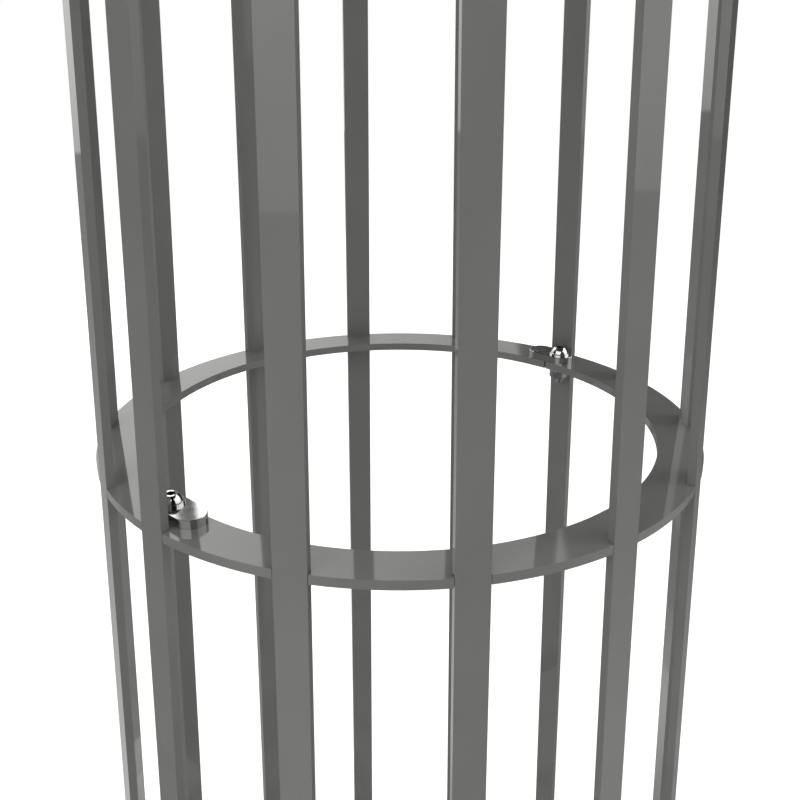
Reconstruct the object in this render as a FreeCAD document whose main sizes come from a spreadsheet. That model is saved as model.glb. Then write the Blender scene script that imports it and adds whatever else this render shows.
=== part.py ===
"""Street tree guard: tapering flat bars in notched rings, made in two halves that bolt together.

Millimetres. The origin is on the ground, at the middle of the circle of bars, with +Z up.
The split between the halves is the plane Y = 0. The front half is on the -Y side, and the rear
half is the same half turned by 180 degrees about Z.
"""

import FreeCAD, Part
import math
import os

import Sketcher

doc = FreeCAD.newDocument("tree_guard")

# Driving dimensions, in millimetres and degrees
DIMENSIONS = {
    "guard_height": 2000,
    "foot_radius": 356,
    "tip_radius": 274,
    "bar_width": 30,
    "bar_thickness": 8,
    "tip_corner_radius": 4,
    "bars_per_half": 7,
    "bar_pitch_angle": 26.7,
    "ring_width": 45,
    "ring_thickness": 9,
    "end_ring_inset": 60,
    "notch_clearance": 0.5,
    "split_gap": 2,
    "plate_length": 60,
    "plate_width": 30,
    "plate_thickness": 9,
    "plate_overlap": 28.5,
    "plate_chamfer": 0.3,
    "bolt_diameter": 12,
    "bolt_length": 40,
    "bolt_setback": 11,
    "bolt_hole_clearance": 0.5,
    "bolt_tip_chamfer": 1.2,
    "head_diameter": 21,
    "head_height": 6.6,
    "crown_diameter": 12.4,
    "dome_centre_drop": 4.7,
    "socket_width": 8,
    "socket_depth": 4.2,
    "washer_diameter": 24,
    "washer_thickness": 2.5,
    "nut_width": 19,
    "nut_height": 10,
    "nut_bore_clearance": 0.05,
}
RING_TOPS = {
    "low": "sizes.end_ring_inset",
    "middle": "sizes.guard_height / 2",
    "high": "(sizes.guard_height - sizes.end_ring_inset)",
}
HALVES = {"front": 0, "rear": 180}
CUT_MARGIN = 5

sheet = doc.addObject("Spreadsheet::Sheet", "sizes")
for row, (alias, value) in enumerate(DIMENSIONS.items(), start=1):
    sheet.set(f"A{row}", alias)
    sheet.set(f"B{row}", str(value))
    sheet.setAlias(f"B{row}", alias)
doc.recompute()

# Expressions that several pieces share
SLOPE = "(sizes.foot_radius - sizes.tip_radius) / sizes.guard_height"
LEAN = "atan((sizes.foot_radius - sizes.tip_radius) / sizes.guard_height)"
BAR_DEPTH = f"sizes.bar_thickness / cos({LEAN})"
BOLT_HOLE_RADIUS = "(sizes.bolt_diameter / 2 + sizes.bolt_hole_clearance)"
UNDER_RING = "-(sizes.ring_thickness + sizes.washer_thickness)"
ON_PLATE = "sizes.plate_thickness"


def ring_radius(level):
    """The rim follows the outer faces of the bars at the underside of the ring."""
    return f"(sizes.foot_radius - {SLOPE} * ({RING_TOPS[level]} - sizes.ring_thickness))"


def plate_radius(level):
    """The plate's long inner edge is tangent to the ring's inner rim."""
    return f"({ring_radius(level)} - sizes.ring_width + sizes.plate_width / 2)"


def number(expression):
    """The value of an expression of the sheet, as a plain number."""
    value = sheet.evalExpression(expression)
    return float(getattr(value, "Value", value))


def plane_of(body, role):
    for feature in body.Origin.OriginFeatures:
        if feature.Role == role:
            return feature
    raise ValueError(role)


def new_body(label):
    body = doc.addObject("PartDesign::Body", label)
    body.Label = label
    return body


def new_sketch(body, name, role):
    sketch = body.newObject("Sketcher::SketchObject", name)
    sketch.AttachmentSupport = [(plane_of(body, role), "")]
    sketch.MapMode = "FlatFace"
    return sketch


def add_feature(body, kind, name, sketch):
    feature = body.newObject(f"PartDesign::{kind}", name)
    feature.Profile = sketch
    return feature


def bind_constraint(sketch, constraint, expression):
    index = sketch.addConstraint(constraint)
    name = f"size_{index}"
    sketch.renameConstraint(index, name)
    sketch.setExpression(f"Constraints.{name}", expression)


def pin_point(sketch, curve, end, x, y):
    """Holds one end of a curve at x, y, given as expressions, from the sketch's origin."""
    for kind, expression, axis in (("DistanceX", x, -2), ("DistanceY", y, -1)):
        value = number(expression)
        if abs(value) < 1e-9:
            sketch.addConstraint(Sketcher.Constraint("PointOnObject", curve, end, axis))
        else:
            constraint = Sketcher.Constraint(kind, -1, 1, curve, end, value)
            bind_constraint(sketch, constraint, expression)


def pin_radius(sketch, curve, expression):
    constraint = Sketcher.Constraint("Radius", curve, number(expression))
    bind_constraint(sketch, constraint, expression)


def join(sketch, first, first_end, second, second_end):
    sketch.addConstraint(Sketcher.Constraint("Coincident", first, first_end, second, second_end))


def add_polygon(sketch, corners):
    """A closed outline through corners given as pairs of expressions."""
    points = [FreeCAD.Vector(number(x), number(y), 0) for x, y in corners]
    first = sketch.GeometryCount
    last = first + len(corners) - 1
    for start, end in zip(points, points[1:] + points[:1]):
        sketch.addGeometry(Part.LineSegment(start, end))
    for index in range(first, last + 1):
        join(sketch, index, 2, first if index == last else index + 1, 1)
    for index, (x, y) in enumerate(corners, start=first):
        pin_point(sketch, index, 1, x, y)


def add_circle(sketch, x, y, radius):
    centre = FreeCAD.Vector(number(x), number(y), 0)
    circle = sketch.addGeometry(Part.Circle(centre, FreeCAD.Vector(0, 0, 1), number(radius)))
    pin_point(sketch, circle, 3, x, y)
    pin_radius(sketch, circle, radius)


def add_arc(sketch, centre, radius, start_angle, end_angle):
    """An arc drawn anticlockwise, from start_angle to end_angle in degrees."""
    middle = FreeCAD.Vector(number(centre[0]), number(centre[1]), 0)
    circle = Part.Circle(middle, FreeCAD.Vector(0, 0, 1), number(radius))
    arc = Part.ArcOfCircle(circle, math.radians(start_angle), math.radians(end_angle))
    return sketch.addGeometry(arc)


def add_line(sketch, start, end):
    points = [FreeCAD.Vector(number(x), number(y), 0) for x, y in (start, end)]
    return sketch.addGeometry(Part.LineSegment(*points))


def edge_names(shape, wanted):
    """The names of the edges that wanted accepts."""
    return [f"Edge{n}" for n, edge in enumerate(shape.Edges, start=1) if wanted(edge)]


def pad_up(body, sketch, length):
    pad = add_feature(body, "Pad", "pad", sketch)
    pad.setExpression("Length", length)
    return pad


def pocket_through(body, sketch, name):
    """Cuts the sketch through everything, both ways from its plane."""
    pocket = add_feature(body, "Pocket", name, sketch)
    pocket.Type = "ThroughAll"
    pocket.Midplane = True
    return pocket


def make_bar(label, turn):
    """One upright bar: its side outline leans inwards, and its two ends are level."""
    body = new_body(label)
    side = new_sketch(body, "side_outline", "XZ_Plane")
    add_polygon(side, [
        ("sizes.foot_radius", "0"),
        ("sizes.tip_radius", "sizes.guard_height"),
        (f"sizes.tip_radius - {BAR_DEPTH}", "sizes.guard_height"),
        (f"sizes.foot_radius - {BAR_DEPTH}", "0"),
    ])
    pad = pad_up(body, side, "sizes.bar_width")
    pad.Midplane = True
    doc.recompute()

    height = number("sizes.guard_height")

    def is_tip_corner(edge):
        level = abs(edge.BoundBox.ZMin - height) + abs(edge.BoundBox.ZMax - height)
        return level < 0.01 and edge.BoundBox.YLength < 0.01

    rounding = body.newObject("PartDesign::Fillet", "tip_corners")
    rounding.Base = (pad, edge_names(pad.Shape, is_tip_corner))
    rounding.setExpression("Radius", "sizes.tip_corner_radius")
    place(body, turn=turn)
    return body


def place(body, x="0", y="0", z="0", turn=0):
    """Moves a body to x, y, z, given as expressions, and turns it about the guard's axis."""
    angle = math.radians(turn)
    cosine = round(math.cos(angle), 12)
    sine = round(math.sin(angle), 12)
    body.Placement = FreeCAD.Placement(
        FreeCAD.Vector(), FreeCAD.Rotation(FreeCAD.Vector(0, 0, 1), turn))
    body.setExpression("Placement.Base.x", f"({cosine}) * ({x}) - ({sine}) * ({y})")
    body.setExpression("Placement.Base.y", f"({sine}) * ({x}) + ({cosine}) * ({y})")
    body.setExpression("Placement.Base.z", z)


def draw_half_annulus(sketch, level):
    """The half ring's outline on the -Y side, cut back from the split by half of its gap."""
    outer = ring_radius(level)
    inner = f"({outer} - sizes.ring_width)"
    end_y = "-sizes.split_gap / 2"
    rim = add_arc(sketch, ("0", "0"), outer, 181, 359)
    bore = add_arc(sketch, ("0", "0"), inner, 181, 359)
    left = add_line(sketch, (f"-{outer}", end_y), (f"-{inner}", end_y))
    right = add_line(sketch, (inner, end_y), (outer, end_y))
    join(sketch, rim, 3, -1, 1)
    join(sketch, bore, 3, -1, 1)
    join(sketch, rim, 1, left, 1)
    join(sketch, bore, 1, left, 2)
    join(sketch, bore, 2, right, 1)
    join(sketch, rim, 2, right, 2)
    sketch.addConstraint(Sketcher.Constraint("Horizontal", left))
    sketch.addConstraint(Sketcher.Constraint("Horizontal", right))
    pin_radius(sketch, rim, outer)
    pin_radius(sketch, bore, inner)
    for curve in (left, right):
        constraint = Sketcher.Constraint("DistanceY", -1, 1, curve, 1, number(end_y))
        bind_constraint(sketch, constraint, end_y)


def cut_notch(body, level, name, side):
    """A notch in the rim whose floor lies on a bar's leaning inner face, at -X or +X."""
    floor = f"({ring_radius(level)} - {BAR_DEPTH})"
    below = f"{floor} + {SLOPE} * {CUT_MARGIN}"
    above = f"{floor} - {SLOPE} * (sizes.ring_thickness + {CUT_MARGIN})"
    outside = f"{ring_radius(level)} + {CUT_MARGIN}"
    top = f"sizes.ring_thickness + {CUT_MARGIN}"
    profile = new_sketch(body, f"{name}_profile", "XZ_Plane")
    add_polygon(profile, [
        (f"{side} * ({below})", f"-{CUT_MARGIN}"),
        (f"{side} * ({above})", top),
        (f"{side} * ({outside})", top),
        (f"{side} * ({outside})", f"-{CUT_MARGIN}"),
    ])
    notch = add_feature(body, "Pocket", name, profile)
    notch.Midplane = True
    notch.setExpression("Length", "sizes.bar_width + 2 * sizes.notch_clearance")
    return notch


def cut_bolt_slot(body, level):
    """The open slot in the end at +X, where the other half's bolt slides in."""
    x = plate_radius(level)
    y = "-sizes.bolt_setback"
    left = f"{x} - {BOLT_HOLE_RADIUS}"
    right = f"{x} + {BOLT_HOLE_RADIUS}"
    mouth = f"{CUT_MARGIN}"
    outline = new_sketch(body, "slot_outline", "XY_Plane")
    bottom = add_arc(outline, (x, y), BOLT_HOLE_RADIUS, 180, 360)
    right_side = add_line(outline, (right, y), (right, mouth))
    across = add_line(outline, (right, mouth), (left, mouth))
    left_side = add_line(outline, (left, mouth), (left, y))
    join(outline, right_side, 2, across, 1)
    join(outline, across, 2, left_side, 1)
    outline.addConstraint(Sketcher.Constraint("Tangent", bottom, 2, right_side, 1))
    outline.addConstraint(Sketcher.Constraint("Tangent", left_side, 2, bottom, 1))
    outline.addConstraint(Sketcher.Constraint("Vertical", right_side))
    outline.addConstraint(Sketcher.Constraint("Vertical", left_side))
    outline.addConstraint(Sketcher.Constraint("Horizontal", across))
    pin_point(outline, bottom, 3, x, y)
    pin_radius(outline, bottom, BOLT_HOLE_RADIUS)
    mouth_height = Sketcher.Constraint("DistanceY", -1, 1, across, 1, number(mouth))
    bind_constraint(outline, mouth_height, mouth)
    pocket_through(body, outline, "bolt_slot")


def make_half_ring(label, level, turn):
    """A flat half ring with a notch for each bar of its half and for the first of the other."""
    body = new_body(label)
    outline = new_sketch(body, "ring_outline", "XY_Plane")
    draw_half_annulus(outline, level)
    pad_up(body, outline, "sizes.ring_thickness")
    doc.recompute()
    plain_volume = body.Shape.Volume

    cut_notch(body, level, "far_notch", 1)
    notch = cut_notch(body, level, "first_notch", -1)
    doc.recompute()
    notches = body.newObject("PartDesign::PolarPattern", "notches")
    notches.Originals = [notch]
    notches.Axis = (plane_of(body, "Z_Axis"), [""])
    notches.Mode = "Spacing"
    notches.setExpression("Offset", "sizes.bar_pitch_angle")
    notches.setExpression("Occurrences", "sizes.bars_per_half")
    body.Tip = notches
    doc.recompute()
    if body.Shape.Volume >= plain_volume:
        raise ValueError(f"the notches of {label} cut nothing")
    cut_bolt_slot(body, level)
    place(body, z=f"{RING_TOPS[level]} - sizes.ring_thickness", turn=turn)
    return body


def place_on_joint(body, level, turn, height):
    """Puts a body on the axis of the bolt at -X, height above the ring's top face."""
    place(body, x=f"-{plate_radius(level)}", y="sizes.bolt_setback",
          z=f"{RING_TOPS[level]} + {height}", turn=turn)


def make_plate(label, level, turn):
    """The joint plate: a bar with round ends, bored for the bolt."""
    body = new_body(label)
    end_radius = "(sizes.plate_width / 2)"
    free_end = "(sizes.plate_overlap - sizes.bolt_setback - sizes.plate_width / 2)"
    fixed_end = f"({free_end} - sizes.plate_length + sizes.plate_width)"
    outline = new_sketch(body, "plate_outline", "XY_Plane")
    round_free = add_arc(outline, ("0", free_end), end_radius, 0, 180)
    round_fixed = add_arc(outline, ("0", fixed_end), end_radius, 180, 360)
    inner_side = add_line(outline, (end_radius, fixed_end), (end_radius, free_end))
    outer_side = add_line(outline, (f"-{end_radius}", free_end), (f"-{end_radius}", fixed_end))
    for first, first_end, second, second_end in (
            (inner_side, 2, round_free, 1), (round_free, 2, outer_side, 1),
            (outer_side, 2, round_fixed, 1), (round_fixed, 2, inner_side, 1)):
        constraint = Sketcher.Constraint("Tangent", first, first_end, second, second_end)
        outline.addConstraint(constraint)
    pin_point(outline, round_free, 3, "0", free_end)
    pin_point(outline, round_fixed, 3, "0", fixed_end)
    pin_radius(outline, round_free, end_radius)
    add_circle(outline, "0", "0", BOLT_HOLE_RADIUS)
    pad = pad_up(body, outline, "sizes.plate_thickness")
    doc.recompute()

    thickness = number("sizes.plate_thickness")
    hole_reach = number(BOLT_HOLE_RADIUS) + 0.1

    def is_top_edge(edge):
        box = edge.BoundBox
        on_top = abs(box.ZMin - thickness) < 0.01 and box.ZLength < 0.01
        return on_top and max(abs(box.XMin), abs(box.XMax)) > hole_reach

    chamfer = body.newObject("PartDesign::Chamfer", "top_edge")
    chamfer.Base = (pad, edge_names(pad.Shape, is_top_edge))
    chamfer.setExpression("Size", "sizes.plate_chamfer")
    place_on_joint(body, level, turn, "0")
    return body


def add_hexagon(sketch, width):
    """A hexagon about the origin, width across its flats, with a corner on each side in X."""
    corners = []
    for index in range(6):
        angle = 60 * index
        reach = f"{width} / 2 / cos(30)"
        corners.append((f"{reach} * cos({angle})", f"{reach} * sin({angle})"))
    add_polygon(sketch, corners)


def make_bolt(label, level, turn):
    """The button-head bolt, with its head's underside at z = 0."""
    body = new_body(label)
    profile = new_sketch(body, "bolt_profile", "XZ_Plane")
    shank = "(sizes.bolt_diameter / 2)"
    crown = "sizes.crown_diameter / 2"
    rim = "sizes.head_diameter / 2"
    corners = [
        (crown, "sizes.head_height"),
        ("0", "sizes.head_height"),
        ("0", "-sizes.bolt_length"),
        (f"{shank} - sizes.bolt_tip_chamfer", "-sizes.bolt_length"),
        (shank, "sizes.bolt_tip_chamfer - sizes.bolt_length"),
        (shank, "0"),
        (rim, "0"),
    ]
    lines = [add_line(profile, *ends) for ends in zip(corners, corners[1:])]
    for first, second in zip(lines, lines[1:]):
        join(profile, first, 2, second, 1)
    for line, (x, y) in zip(lines, corners):
        pin_point(profile, line, 1, x, y)
    pin_point(profile, lines[-1], 2, *corners[-1])
    # The dome runs from the rim to the crown, about a centre below the head's underside
    drop = number("sizes.dome_centre_drop")
    top = number("sizes.head_height") + drop
    squares = number(crown) ** 2 + top ** 2 - number(rim) ** 2 - drop ** 2
    centre_x = squares / 2 / (number(crown) - number(rim))
    dome_radius = math.hypot(number(rim) - centre_x, drop)
    start = math.degrees(math.asin(drop / dome_radius))
    end = math.degrees(math.asin(top / dome_radius))
    dome = add_arc(profile, (f"{centre_x}", f"-{drop}"), f"{dome_radius}", start, end)
    join(profile, dome, 1, lines[-1], 2)
    join(profile, dome, 2, lines[0], 1)
    centre_height = Sketcher.Constraint("DistanceY", dome, 3, -1, 1, drop)
    bind_constraint(profile, centre_height, "sizes.dome_centre_drop")
    turned = add_feature(body, "Revolution", "turned_bolt", profile)
    turned.ReferenceAxis = (profile, ["V_Axis"])
    turned.Angle = 360
    doc.recompute()
    turned_volume = body.Shape.Volume

    socket = new_sketch(body, "socket_outline", "XY_Plane")
    add_hexagon(socket, "sizes.socket_width")
    socket.setExpression("AttachmentOffset.Base.z", "sizes.head_height")
    recess = add_feature(body, "Pocket", "socket", socket)
    recess.setExpression("Length", "sizes.socket_depth")
    doc.recompute()
    if body.Shape.Volume >= turned_volume:
        raise ValueError(f"the socket of {label} cuts nothing")
    place_on_joint(body, level, turn, "sizes.plate_thickness + sizes.washer_thickness")
    return body


def make_washer(label, level, turn, height):
    body = new_body(label)
    outline = new_sketch(body, "washer_outline", "XY_Plane")
    add_circle(outline, "0", "0", "sizes.washer_diameter / 2")
    add_circle(outline, "0", "0", BOLT_HOLE_RADIUS)
    pad_up(body, outline, "sizes.washer_thickness")
    place_on_joint(body, level, turn, height)
    return body


def make_nut(label, level, turn):
    """A hexagon nut, chamfered at 30 degrees at both ends down to its flats."""
    body = new_body(label)
    outline = new_sketch(body, "nut_outline", "XY_Plane")
    add_hexagon(outline, "sizes.nut_width")
    add_circle(outline, "0", "0", "sizes.bolt_diameter / 2 + sizes.nut_bore_clearance")
    pad_up(body, outline, "sizes.nut_height")
    doc.recompute()
    plain_volume = body.Shape.Volume

    flat = "(sizes.nut_width / 2)"
    beyond = "(sizes.nut_width / 2 + sizes.nut_width / 6)"
    drop = "(sizes.nut_width / 6 * tan(30))"
    corners = new_sketch(body, "corner_cut", "XZ_Plane")
    for end, inwards in (("0", "1"), ("sizes.nut_height", "-1")):
        add_polygon(corners, [
            (flat, end),
            (beyond, f"{end} + {inwards} * {drop}"),
            (beyond, end),
        ])
    groove = add_feature(body, "Groove", "corners", corners)
    groove.ReferenceAxis = (corners, ["V_Axis"])
    groove.Angle = 360
    doc.recompute()
    if body.Shape.Volume >= plain_volume:
        raise ValueError(f"the corners of {label} cut nothing")
    place_on_joint(body, level, turn,
                   "-(sizes.ring_thickness + sizes.washer_thickness + sizes.nut_height)")
    return body


def make_half(half, turn):
    """All the pieces of one half. Its first bar is at -X, on the split, before the turn."""
    pieces = []
    for index in range(int(number("sizes.bars_per_half"))):
        angle = 180 + index * number("sizes.bar_pitch_angle") + turn
        pieces.append(make_bar(f"{half}_bar_{index + 1}", angle))
    for level in RING_TOPS:
        pieces.append(make_half_ring(f"{half}_ring_{level}", level, turn))
        pieces.append(make_plate(f"{half}_plate_{level}", level, turn))
        pieces.append(make_bolt(f"{half}_bolt_{level}", level, turn))
        pieces.append(make_washer(f"{half}_washer_{level}", level, turn, UNDER_RING))
        pieces.append(make_washer(f"{half}_washer_{level}_head", level, turn, ON_PLATE))
        pieces.append(make_nut(f"{half}_nut_{level}", level, turn))
    return pieces


def check_document(pieces):
    for item in doc.Objects:
        if "Invalid" in item.State or "Error" in item.State:
            raise ValueError(f"{item.Label} failed: {item.State}")
    for piece in pieces:
        if piece.Shape.isNull() or not piece.Shape.isValid():
            raise ValueError(f"{piece.Label} has no valid shape")
        if len(piece.Shape.Solids) != 1:
            raise ValueError(f"{piece.Label} is not one solid")


pieces = []
for half, turn in HALVES.items():
    pieces.extend(make_half(half, turn))
doc.recompute()
check_document(pieces)

os.makedirs("parts", exist_ok=True)
for piece in pieces:
    piece.Shape.exportStep(f"parts/{piece.Label}.step")
print(len(pieces), "pieces written")
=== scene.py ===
"""Looks of the street tree guard: powder-coated bars and rings, polished plates and bolts."""

import math

import bpy
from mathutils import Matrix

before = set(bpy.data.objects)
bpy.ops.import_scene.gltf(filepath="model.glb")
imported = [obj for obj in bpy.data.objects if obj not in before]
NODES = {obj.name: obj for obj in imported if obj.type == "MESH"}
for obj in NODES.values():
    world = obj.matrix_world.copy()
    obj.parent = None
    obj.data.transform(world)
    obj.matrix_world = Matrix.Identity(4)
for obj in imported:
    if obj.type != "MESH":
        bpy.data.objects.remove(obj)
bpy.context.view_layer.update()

# The photograph's camera, solved from the ring's and the bars' edges
RIM_RADIUS = 0.31537
RING_TOP = 1.0
CAMERA_DISTANCE = 3.085 * RIM_RADIUS
CAMERA_RISE = 1.311 * RIM_RADIUS
CAMERA_TURN = math.radians(-47.15)
CAMERA_PITCH = math.radians(21.70)
FOCAL_PIXELS = 978.8
IMAGE_PIXELS = 800
SENSOR_WIDTH = 36.0
NEAREST_SEEN = 0.02

WHITE = (1.0, 1.0, 1.0, 1.0)
COAT_DARK = (0.143, 0.143, 0.137)
COAT_LIGHT = (0.155, 0.155, 0.149)
# How dark a scratch is beside the steel round it
SCRATCH_SHADE = 0.93
EDGE_SEGMENTS = 2
EDGE_ANGLE = math.radians(35)

# Shares of the bolt's box, which is 46.6 mm high and 21 mm wide. The head's underside is at 0.858.
# The socket's floor is at 0.91 and its corners lie 4.62 mm out, inside the limits given here
THREAD_TOP = 0.857
SOCKET_LOW = 0.87
SOCKET_HIGH = 0.997
SOCKET_RADIUS = 4.75 / 21
THREAD_PITCH = 0.00175
THREAD_HEIGHT = 0.0002
THREAD_GREY = (0.30, 0.30, 0.30, 1.0)
# The socket's colour is painted shade, standing for the shade inside the recess
SOCKET_PAINTED_SHADE = (0.18, 0.18, 0.18, 1.0)
DULL_ROUGHNESS = 0.32

# The floor and the world look white, and light the object less than they look
FLOOR_REACH = 30.0
FLOOR_GLOW = 0.45
WORLD_LIGHT = 0.71

LAMP_POWERS = (76, 92, 74)
LAMP_DISTANCE = 5.0
LAMP_HEIGHT = 3.2
LAMP_SIZE = 2.5

# The studio that the polished faces mirror, in degrees round from the camera's side
SOFTBOX_TURNS = (-155, -35, 85)
SOFTBOX_RADIUS = 8.0
SOFTBOX_STEPS = 24
STUDIO_RADIUS = 8.3
STUDIO_HEIGHT = 9.0
STUDIO_STEPS = 72
WALL_ROWS = 8
CARPET_HEIGHT = 0.012
DRAPE_FOOT = 0.01
DRAPE_LEVELS = [(0.0, 0.02), (1.0, 0.0)]
# Half the angle that a softbox spans, at its foot and at its top
PANEL_SPREADS = (29.8, 49.5)
# A softbox's brightness is divided by this in its ramp and multiplied by it after
PANEL_SCALE = 2.0
# Brightness by height: a dim skirt from the floor to 0.42 m, then the lit face
PANEL_LEVELS = [
    (0.0, 0.24), (0.045, 0.24), (0.046, 0.78), (0.1, 0.95),
    (0.19, 1.15), (0.38, 1.82), (0.57, 2.1), (1.0, 2.1),
]
# The share of it across a softbox, from the edge with the smaller turn
PANEL_SIDES = [
    (0.0, 0.02), (0.058, 0.045), (0.0605, 0.49), (0.09, 0.52), (0.14, 0.58),
    (0.2, 0.66), (0.29, 0.82), (0.38, 1.0), (1.0, 1.0),
]
# How bright the carpet looks by distance in metres, out of the softboxes' light and in it
SHADED_CARPET = [
    (0.0, 0.19), (0.7, 0.16), (1.25, 0.26), (1.7, 0.22), (2.2, 0.17),
    (3.0, 0.12), (4.0, 0.09), (6.0, 0.05), (STUDIO_RADIUS, 0.02),
]
LIT_CARPET = [
    (0.0, 0.40), (0.42, 0.42), (0.7, 0.87), (1.3, 0.75), (1.7, 0.63),
    (2.2, 0.51), (3.0, 0.42), (4.0, 0.34), (6.0, 0.28), (STUDIO_RADIUS, 0.26),
]
# How far it is lit by turn in degrees, close to the object and farther out
NEAR_LIGHT = [
    (-180, 0.2), (-171, 0.1), (-162, 1.0), (-148, 1.0), (-135, 0.84), (-112, 0.84), (-96, 0.1),
    (-73, 0.0), (-58, 1.0), (-22, 1.0), (-8, 0.0), (48, 0.0), (66, 0.5), (98, 0.5),
    (115, 0.1), (140, 0.1), (152, 0.65), (170, 0.9), (180, 0.2),
]
FAR_LIGHT = [
    (-180, 0.05), (-164, 0.95), (-148, 1.0), (-135, 0.84), (-118, 0.84), (-96, 0.0),
    (-73, 0.0), (-58, 1.0), (-32, 1.0), (-18, 0.0), (48, 0.0), (66, 0.9),
    (105, 0.9), (125, 0.0), (165, 0.05), (180, 0.05),
]
# The share of the second of these by distance in metres
NEAR_LIMIT = [(0.0, 0.0), (0.9, 0.0), (1.3, 1.0)]


class Graph:
    """Adds nodes to a material or world and links them."""

    def __init__(self, owner):
        owner.use_nodes = True
        self.tree = owner.node_tree
        self.tree.nodes.clear()

    def add(self, kind, inputs=None, **settings):
        node = self.tree.nodes.new(kind)
        for name, value in settings.items():
            setattr(node, name, value)
        for socket, value in (inputs or {}).items():
            self.put(node.inputs[socket], value)
        return node

    def put(self, socket, value):
        if isinstance(value, bpy.types.NodeSocket):
            self.tree.links.new(value, socket)
        else:
            socket.default_value = value

    def maths(self, operation, first, second=0.0):
        node = self.add("ShaderNodeMath", operation=operation)
        self.put(node.inputs[0], first)
        self.put(node.inputs[1], second)
        return node.outputs[0]

    def position(self, scale=(1, 1, 1)):
        place = self.add("ShaderNodeTexCoord").outputs["Object"]
        mapping = self.add("ShaderNodeMapping", {"Vector": place, "Scale": scale})
        return mapping.outputs["Vector"]

    def parts(self, vector):
        return self.add("ShaderNodeSeparateXYZ", {"Vector": vector}).outputs

    def place_in_studio(self):
        """How far a point of a studio piece lies across it, and how far up or out."""
        place = self.parts(self.add("ShaderNodeUVMap").outputs["UV"])
        return place["X"], place["Y"]

    def noise(self, vector, scale, detail=2.0, roughness=0.5):
        values = {"Vector": vector, "Scale": scale, "Detail": detail, "Roughness": roughness}
        return self.add("ShaderNodeTexNoise", values).outputs["Fac"]

    def spread(self, value, low, high, from_low=0.3, from_high=0.7):
        """Maps from_low..from_high, at first a texture's middle range, to low..high."""
        values = {"Value": value, "From Min": from_low, "From Max": from_high,
                  "To Min": low, "To Max": high}
        return self.add("ShaderNodeMapRange", values).outputs["Result"]

    def ramp(self, value, stops):
        node = self.add("ShaderNodeValToRGB", {"Fac": value})
        elements = node.color_ramp.elements
        for index, (place, colour) in enumerate(stops):
            element = elements[index] if index < 2 else elements.new(place)
            element.position = place
            element.color = (*colour, 1.0)
        return node.outputs["Color"]

    def greys(self, value, stops):
        return self.ramp(value, [(place, (level,) * 3) for place, level in stops])

    def scratched(self, lines, colour):
        """Bare steel of a colour, a little darker along the lines."""
        low = tuple(SCRATCH_SHADE * part for part in colour)
        return self.ramp(lines, [(0.3, low), (0.7, colour)])

    def mix(self, share, first, second):
        node = self.add("ShaderNodeMix", {"Factor": share}, data_type="RGBA")
        ends = [socket for socket in node.inputs if socket.type == "RGBA"]
        self.put(ends[0], first)
        self.put(ends[1], second)
        return [socket for socket in node.outputs if socket.type == "RGBA"][0]

    def bump(self, height, distance, normal=None):
        node = self.add("ShaderNodeBump", {"Height": height, "Distance": distance, "Strength": 1.0})
        if normal is not None:
            self.put(node.inputs["Normal"], normal)
        return node.outputs["Normal"]

    def seen_rays(self):
        """1 for rays from the camera, from a mirror or through glass, and 0 for the rest."""
        rays = self.add("ShaderNodeLightPath").outputs
        seen = self.maths("MAXIMUM", rays["Is Camera Ray"], rays["Is Glossy Ray"])
        return self.maths("MAXIMUM", seen, rays["Is Transmission Ray"])

    def glow(self, colour, strength):
        return self.add("ShaderNodeEmission", {"Color": colour, "Strength": strength}).outputs[0]

    def finish_material(self, shader):
        self.add("ShaderNodeOutputMaterial", {"Surface": shader})

    def finish_principled(self, inputs):
        self.finish_material(self.add("ShaderNodeBsdfPrincipled", inputs).outputs["BSDF"])


def coated_steel(name, roughness):
    """Grey powder coat: fine orange peel over a faint swell, clouding and duller smears."""
    material = bpy.data.materials.new(name)
    graph = Graph(material)
    place = graph.position()
    clouds = graph.noise(place, scale=9.0, detail=3.0)
    colour = graph.ramp(clouds, [(0.3, COAT_DARK), (0.7, COAT_LIGHT)])
    peel = graph.noise(place, scale=620.0, detail=2.0)
    swell = graph.noise(place, scale=26.0, detail=1.0)
    smears = graph.noise(graph.position((1, 1, 0.25)), scale=45.0, detail=4.0, roughness=0.6)
    normal = graph.bump(peel, distance=0.000002)
    normal = graph.bump(swell, distance=0.000012, normal=normal)
    graph.finish_principled({
        "Base Color": colour,
        "Roughness": graph.spread(smears, low=roughness * 0.85, high=roughness * 1.2),
        "Metallic": 0.0,
        "IOR": 1.5,
        "Normal": normal,
    })
    return material


def ground_steel(name, colour, roughness, grain, depth, stretch=(1, 1, 1)):
    """Bare steel with fine scratches, parallel where they are stretched."""
    material = bpy.data.materials.new(name)
    graph = Graph(material)
    lines = graph.noise(graph.position(stretch), scale=grain, detail=3.0, roughness=0.7)
    patches = graph.noise(graph.position(), scale=120.0, detail=2.0)
    graph.finish_principled({
        "Base Color": graph.scratched(lines, colour),
        "Roughness": graph.spread(patches, low=roughness * 0.8, high=roughness * 1.3),
        "Metallic": 1.0,
        "Normal": graph.bump(lines, distance=depth),
    })
    return material


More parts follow.
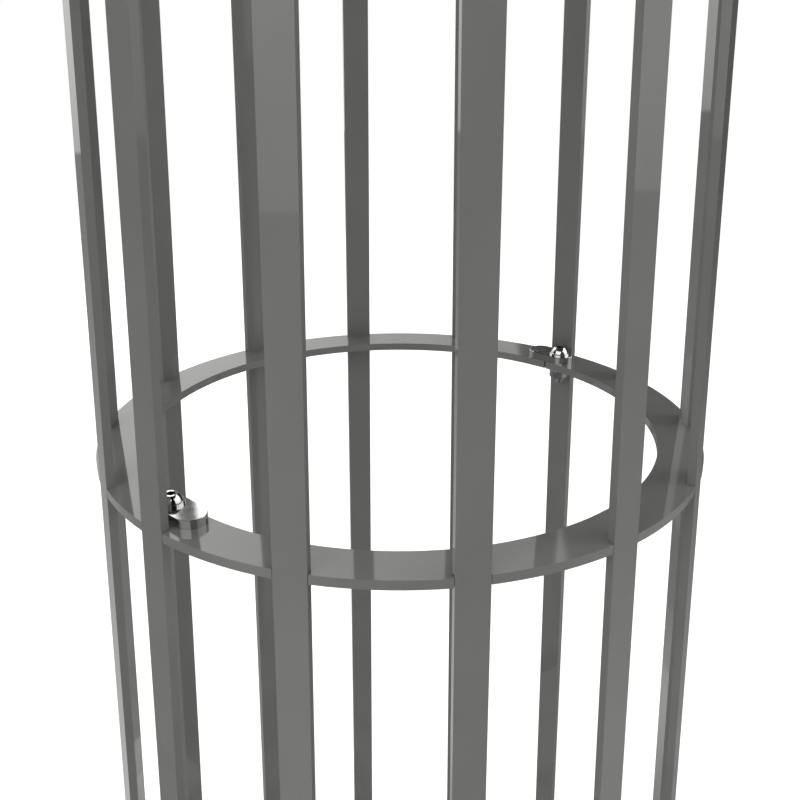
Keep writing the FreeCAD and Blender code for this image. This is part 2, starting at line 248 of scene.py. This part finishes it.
def bolt_steel_with_thread(name, colour, roughness):
    """Polished head whose socket is painted dark grey as shade in the recess, and a duller thread below
    it.
    """
    material = bpy.data.materials.new(name)
    graph = Graph(material)
    box = graph.parts(graph.add("ShaderNodeTexCoord").outputs["Generated"])
    flat = graph.add("ShaderNodeCombineXYZ", {"X": box["X"], "Y": box["Y"]}).outputs[0]
    middle = (0.5, 0.5, 0.0)
    offset = graph.add("ShaderNodeVectorMath", {0: flat, 1: middle}, operation="DISTANCE")
    inside = graph.maths("LESS_THAN", offset.outputs["Value"], SOCKET_RADIUS)
    under = graph.maths("LESS_THAN", box["Z"], SOCKET_HIGH)
    above = graph.maths("GREATER_THAN", box["Z"], SOCKET_LOW)
    # Mask of the socket, where the steel's colour gives way to painted shade
    socket = graph.maths("MULTIPLY", graph.maths("MULTIPLY", inside, under), above)
    thread = graph.maths("LESS_THAN", box["Z"], THREAD_TOP)
    height = graph.parts(graph.position())["Z"]
    ridges = graph.maths("SINE", graph.maths("MULTIPLY", height, math.tau / THREAD_PITCH))
    lines = graph.noise(graph.position((1, 1, 0.05)), scale=400.0, detail=3.0, roughness=0.7)
    shade = graph.mix(thread, graph.scratched(lines, colour), THREAD_GREY)
    dull = graph.maths("ADD", thread, socket)
    normal = graph.bump(lines, distance=0.000001)
    normal = graph.bump(graph.maths("MULTIPLY", ridges, thread), distance=THREAD_HEIGHT, normal=normal)
    graph.finish_principled({
        # Painted shade in the socket over the steel's own colour
        "Base Color": graph.mix(socket, shade, SOCKET_PAINTED_SHADE),
        "Roughness": graph.spread(dull, low=roughness, high=DULL_ROUGHNESS, from_low=0.0, from_high=1.0),
        "Metallic": 1.0,
        "Normal": normal,
    })
    return material


def set_material(node, material):
    slots = NODES[node].material_slots
    for slot in slots:
        slot.material = material
    if not slots:
        NODES[node].data.materials.append(material)


def soften_edges(node, width):
    bevel = NODES[node].modifiers.new("soft_edges", "BEVEL")
    bevel.width = width
    bevel.segments = EDGE_SEGMENTS
    bevel.limit_method = "ANGLE"
    bevel.angle_limit = EDGE_ANGLE
    bevel.harden_normals = True


bar_coat = coated_steel("bar_coat", roughness=0.03)
ring_coat = coated_steel("ring_coat", roughness=0.04)
plate_steel = ground_steel("plate_steel", (0.62, 0.62, 0.61), roughness=0.10,
                           grain=900.0, depth=0.000001, stretch=(1, 0.04, 1))
bolt_steel = bolt_steel_with_thread("bolt_steel", (0.80, 0.80, 0.80), roughness=0.045)
washer_steel = ground_steel("washer_steel", (0.75, 0.75, 0.75), roughness=0.08,
                            grain=500.0, depth=0.000001)
nut_steel = ground_steel("nut_steel", (0.5, 0.5, 0.5), roughness=0.15,
                         grain=500.0, depth=0.000004)

# Material and width of the softened edges, by the second word of a piece's name
FINISHES = {
    "bar": (bar_coat, 0.0006),
    "ring": (ring_coat, 0.0004),
    "plate": (plate_steel, 0.0003),
    "bolt": (bolt_steel, 0.0003),
    "washer": (washer_steel, 0.0003),
    "nut": (nut_steel, 0.0003),
}
for node in NODES:
    material, edge = FINISHES[node.split("_")[1]]
    set_material(node, material)
    soften_edges(node, edge)


def make_floor():
    """White where it is seen or mirrored, and pale and matt under the object's shadow."""
    material = bpy.data.materials.new("floor")
    graph = Graph(material)
    seen = graph.seen_rays()
    grain = graph.noise(graph.position(), scale=30.0, detail=3.0)
    pale = graph.greys(grain, [(0.3, 0.80), (0.7, 0.82)])
    matt = graph.add("ShaderNodeBsdfDiffuse", {"Color": pale}).outputs[0]
    glow = graph.glow(WHITE, graph.maths("MULTIPLY", seen, FLOOR_GLOW))
    both = graph.add("ShaderNodeAddShader", {0: matt, 1: glow})
    graph.finish_material(both.outputs[0])
    mesh = bpy.data.meshes.new("floor")
    reach = FLOOR_REACH
    corners = [(-reach, -reach, 0), (reach, -reach, 0), (reach, reach, 0), (-reach, reach, 0)]
    mesh.from_pydata(corners, [], [(0, 1, 2, 3)])
    floor = bpy.data.objects.new("floor", mesh)
    bpy.context.collection.objects.link(floor)
    mesh.materials.append(material)


def make_world():
    world = bpy.data.worlds.new("studio")
    bpy.context.scene.world = world
    graph = Graph(world)
    strength = graph.spread(graph.seen_rays(), low=WORLD_LIGHT, high=1.0, from_low=0.0, from_high=1.0)
    background = graph.add("ShaderNodeBackground", {"Color": WHITE, "Strength": strength})
    graph.add("ShaderNodeOutputWorld", {"Surface": background.outputs[0]})


def glow_material(name, levels, sides=None, scale=1.0):
    """Light whose strength follows the height on a wall, or the distance out overhead."""
    material = bpy.data.materials.new(name)
    graph = Graph(material)
    across, along = graph.place_in_studio()
    shade = graph.greys(along, [(place, level / scale) for place, level in levels])
    strength = graph.maths("MULTIPLY", shade, scale)
    if sides:
        strength = graph.maths("MULTIPLY", strength, graph.greys(across, sides))
    graph.finish_material(graph.glow(WHITE, strength))
    return material


def carpet_material():
    """Dark between the softboxes, and lighter where one lights it."""
    material = bpy.data.materials.new("carpet")
    graph = Graph(material)
    around, outwards = graph.place_in_studio()

    def by_distance(levels):
        return graph.greys(outwards, [(away / STUDIO_RADIUS, level) for away, level in levels])

    def by_turn(levels):
        return graph.greys(around, [(turn / 360 + 0.5, level) for turn, level in levels])

    lit = graph.mix(by_distance(NEAR_LIMIT), by_turn(NEAR_LIGHT), by_turn(FAR_LIGHT))
    colour = graph.mix(lit, by_distance(SHADED_CARPET), by_distance(LIT_CARPET))
    graph.finish_material(graph.glow(colour, 1.0))
    return material


def mirrored_only(name, points, faces, uvs, material):
    """A piece of studio gear that only polished surfaces show."""
    mesh = bpy.data.meshes.new(name)
    mesh.from_pydata(points, [], faces)
    layer = mesh.uv_layers.new(name="UVMap")
    for loop in mesh.loops:
        layer.data[loop.index].uv = uvs[loop.vertex_index]
    mesh.materials.append(material)
    piece = bpy.data.objects.new(name, mesh)
    bpy.context.collection.objects.link(piece)
    piece.visible_camera = False
    piece.visible_diffuse = False
    piece.visible_shadow = False
    piece.visible_transmission = False


def studio_angle(turn):
    """Compass angle of a direction so many degrees round from the camera's side."""
    return CAMERA_TURN - math.pi / 2 + math.radians(turn)


def studio_point(radius, turn, height):
    angle = studio_angle(turn)
    return (radius * math.cos(angle), radius * math.sin(angle), height)


def between(ends, share):
    return ends[0] + (ends[1] - ends[0]) * share


def make_wall(name, radius, heights, turn, spreads, material, steps):
    """A wall round the object, which spans one angle at its foot and another at its top."""
    points, faces, uvs = [], [], []
    for step in range(steps + 1):
        for row in range(WALL_ROWS + 1):
            across, up = step / steps, row / WALL_ROWS
            side = turn + between(spreads, up) * (2 * across - 1)
            points.append(studio_point(radius, side, between(heights, up)))
            uvs.append((across, up))
    for step in range(steps):
        for row in range(WALL_ROWS):
            corner = step * (WALL_ROWS + 1) + row
            faces.append((corner, corner + WALL_ROWS + 1, corner + WALL_ROWS + 2, corner + 1))
    mirrored_only(name, points, faces, uvs, material)


def make_disc(name, height, material):
    """A disc on the floor or overhead, whose first edge lies on the far side from the camera."""
    points, faces, uvs = [], [], []
    for step in range(STUDIO_STEPS + 1):
        turn = 360 * step / STUDIO_STEPS - 180
        for out, radius in enumerate((0.0, STUDIO_RADIUS)):
            points.append(studio_point(radius, turn, height))
            uvs.append((step / STUDIO_STEPS, out))
    for step in range(STUDIO_STEPS):
        corner = 2 * step
        faces.append((corner, corner + 2, corner + 3, corner + 1))
    mirrored_only(name, points, faces, uvs, material)


def make_softboxes():
    """Three tall softboxes stand round the object before dark drapes, over a dark carpet."""
    dark = glow_material("drape", DRAPE_LEVELS)
    make_wall("drapes", STUDIO_RADIUS, (DRAPE_FOOT, STUDIO_HEIGHT), 0, (180, 180), dark, STUDIO_STEPS)
    make_disc("ceiling", STUDIO_HEIGHT, dark)
    face = glow_material("softbox", PANEL_LEVELS, PANEL_SIDES, PANEL_SCALE)
    for turn in SOFTBOX_TURNS:
        make_wall(f"softbox_{turn}", SOFTBOX_RADIUS, (CARPET_HEIGHT, STUDIO_HEIGHT), turn,
                  PANEL_SPREADS, face, SOFTBOX_STEPS)
    make_disc("carpet", CARPET_HEIGHT, carpet_material())


def make_lamp(name, turn, power):
    """A soft lamp aimed at the ring, so many degrees round from the camera."""
    lamp = bpy.data.lights.new(name, "AREA")
    lamp.shape = "RECTANGLE"
    lamp.size = LAMP_SIZE
    lamp.size_y = LAMP_SIZE
    lamp.energy = power
    holder = bpy.data.objects.new(name, lamp)
    bpy.context.collection.objects.link(holder)
    holder.location = studio_point(LAMP_DISTANCE, turn, LAMP_HEIGHT)
    tilt = math.atan2(LAMP_DISTANCE, LAMP_HEIGHT - RING_TOP)
    holder.rotation_euler = (tilt, 0, studio_angle(turn) + math.pi / 2)
    holder.visible_glossy = False


def make_camera():
    data = bpy.data.cameras.new("camera")
    data.sensor_width = SENSOR_WIDTH
    data.lens = FOCAL_PIXELS / IMAGE_PIXELS * SENSOR_WIDTH
    data.clip_start = NEAREST_SEEN
    camera = bpy.data.objects.new("camera", data)
    bpy.context.collection.objects.link(camera)
    forwards = (-math.sin(CAMERA_TURN), math.cos(CAMERA_TURN))
    camera.location = (-forwards[0] * CAMERA_DISTANCE, -forwards[1] * CAMERA_DISTANCE,
                       RING_TOP + CAMERA_RISE)
    camera.rotation_euler = (math.pi / 2 - CAMERA_PITCH, 0, CAMERA_TURN)
    bpy.context.scene.camera = camera


make_floor()
make_world()
make_softboxes()
for turn, power in zip(SOFTBOX_TURNS, LAMP_POWERS):
    make_lamp(f"lamp_{turn}", turn, power)
make_camera()
bpy.context.scene.view_settings.view_transform = "Standard"
